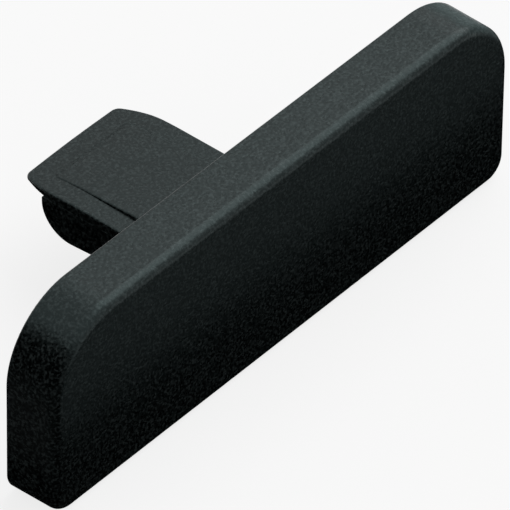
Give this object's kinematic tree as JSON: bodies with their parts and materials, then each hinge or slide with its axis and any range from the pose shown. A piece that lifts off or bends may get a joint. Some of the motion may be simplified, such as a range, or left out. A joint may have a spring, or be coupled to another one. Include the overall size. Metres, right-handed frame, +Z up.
{
  "type": "profile end cap",
  "caption": "Moulded plastic end cap: a shallow cover with round upper corners, and a flat ribbed plug with a wedge pad that pushes into the open end of a profile.",
  "frame": {"origin": "middle of the seating plane, where the cover meets the profile, level with the plug's upper face", "axes": "+X along the cover, +Y into the profile along the plug, +Z up, away from the cover's flat underside"},
  "size_m": [0.08, 0.0325, 0.0264],
  "materials": {
    "black_plastic": "matte, with a fine moulded grain"
  },
  "bodies": {
    "root": {"end_cap": "black_plastic"}
  },
  "joints": []
}
